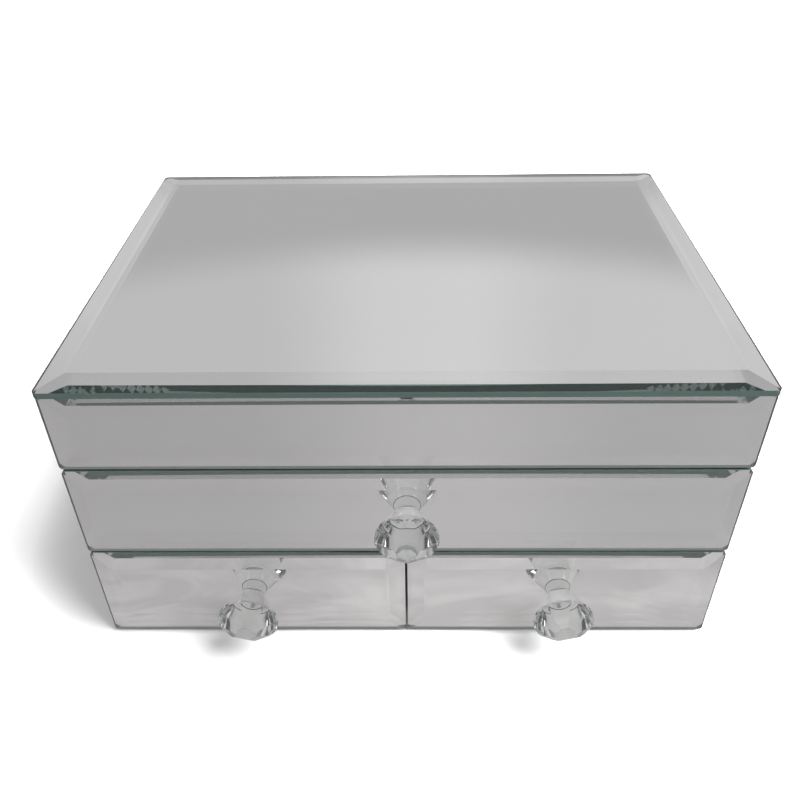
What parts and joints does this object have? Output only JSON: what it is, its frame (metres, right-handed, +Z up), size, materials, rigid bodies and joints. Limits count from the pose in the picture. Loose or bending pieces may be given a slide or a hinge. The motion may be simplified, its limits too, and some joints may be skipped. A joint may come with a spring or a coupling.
{
  "type": "vanity trinket box",
  "caption": "Mirror-clad trinket box: hinged bevelled lid over a lined jewellery tray, a wide drawer above half-width drawers, each pulled by a faceted clear knob.",
  "frame": {"origin": "centre of the underside, on the face of the felt base sheet", "axes": "+Z up, -Y towards the front where the drawers open, +X to the right seen from the front"},
  "size_m": [0.26, 0.2186, 0.1361],
  "materials": {
    "mirror_glass": "polished bevelled glass, silvered on the back, green cut edge",
    "crystal": "clear faceted crystal glass, polished",
    "painted_board": "fibreboard with satin silver-grey paint",
    "drawer_board": "fibreboard wrapped in charcoal flocked paper",
    "tray_card": "card wrapped in charcoal flocking",
    "velvet": "charcoal velvet over foam",
    "felt": "pressed black felt",
    "hinge_steel": "nickel-plated steel",
    "bumper": "clear soft polyurethane"
  },
  "bodies": {
    "carcass": {"base_felt": "felt", "base_board": "painted_board", "side_board_left": "painted_board", "side_board_right": "painted_board", "back_board": "painted_board", "drawer_shelf": "painted_board", "centre_divider": "painted_board", "tray_deck": "painted_board", "side_mirror_left": "mirror_glass", "side_mirror_right": "mirror_glass", "back_mirror": "mirror_glass", "tray_frame": "tray_card", "tray_long_divider": "tray_card", "tray_ring_divider": "tray_card", "tray_front_dividers": "tray_card", "tray_front_pads": "velvet", "tray_rear_pad": "velvet", "ring_rolls": "velvet", "lid_bumpers": "bumper", "hinge_body_leaves": "hinge_steel", "hinge_pins": "hinge_steel", "hinge_body_screws": "hinge_steel"},
    "lid": {"lid_top_mirror": "mirror_glass", "lid_top_board": "painted_board", "lid_front_board": "painted_board", "lid_rear_board": "painted_board", "lid_side_board_left": "painted_board", "lid_side_board_right": "painted_board", "lid_front_mirror": "mirror_glass", "lid_rear_mirror": "mirror_glass", "lid_side_mirror_left": "mirror_glass", "lid_side_mirror_right": "mirror_glass", "lid_pad": "velvet", "hinge_lid_leaves": "hinge_steel", "hinge_lid_screws": "hinge_steel"},
    "wide_drawer": {"wide_drawer_mirror": "mirror_glass", "wide_drawer_front": "painted_board", "wide_drawer_side_left": "drawer_board", "wide_drawer_side_right": "drawer_board", "wide_drawer_back": "drawer_board", "wide_drawer_bottom": "drawer_board", "wide_drawer_pad": "velvet", "wide_drawer_knob": "crystal"},
    "left_drawer": {"left_drawer_mirror": "mirror_glass", "left_drawer_front": "painted_board", "left_drawer_side_left": "drawer_board", "left_drawer_side_right": "drawer_board", "left_drawer_back": "drawer_board", "left_drawer_bottom": "drawer_board", "left_drawer_pad": "velvet", "left_drawer_knob": "crystal"},
    "right_drawer": {"right_drawer_mirror": "mirror_glass", "right_drawer_front": "painted_board", "right_drawer_side_left": "drawer_board", "right_drawer_side_right": "drawer_board", "right_drawer_back": "drawer_board", "right_drawer_bottom": "drawer_board", "right_drawer_pad": "velvet", "right_drawer_knob": "crystal"}
  },
  "joints": [
    {"name": "lid_hinge", "type": "hinge", "parent": "carcass", "child": "lid", "pos_m": [0, 0.0984, 0.0964], "axis": [-1, 0, 0], "range_deg": [0, 95]},
    {"name": "wide_drawer_slide", "type": "slide", "parent": "carcass", "child": "wide_drawer", "axis": [0, -1, 0], "range_m": [0, 0.12]},
    {"name": "left_drawer_slide", "type": "slide", "parent": "carcass", "child": "left_drawer", "axis": [0, -1, 0], "range_m": [0, 0.12]},
    {"name": "right_drawer_slide", "type": "slide", "parent": "carcass", "child": "right_drawer", "axis": [0, -1, 0], "range_m": [0, 0.12]}
  ]
}
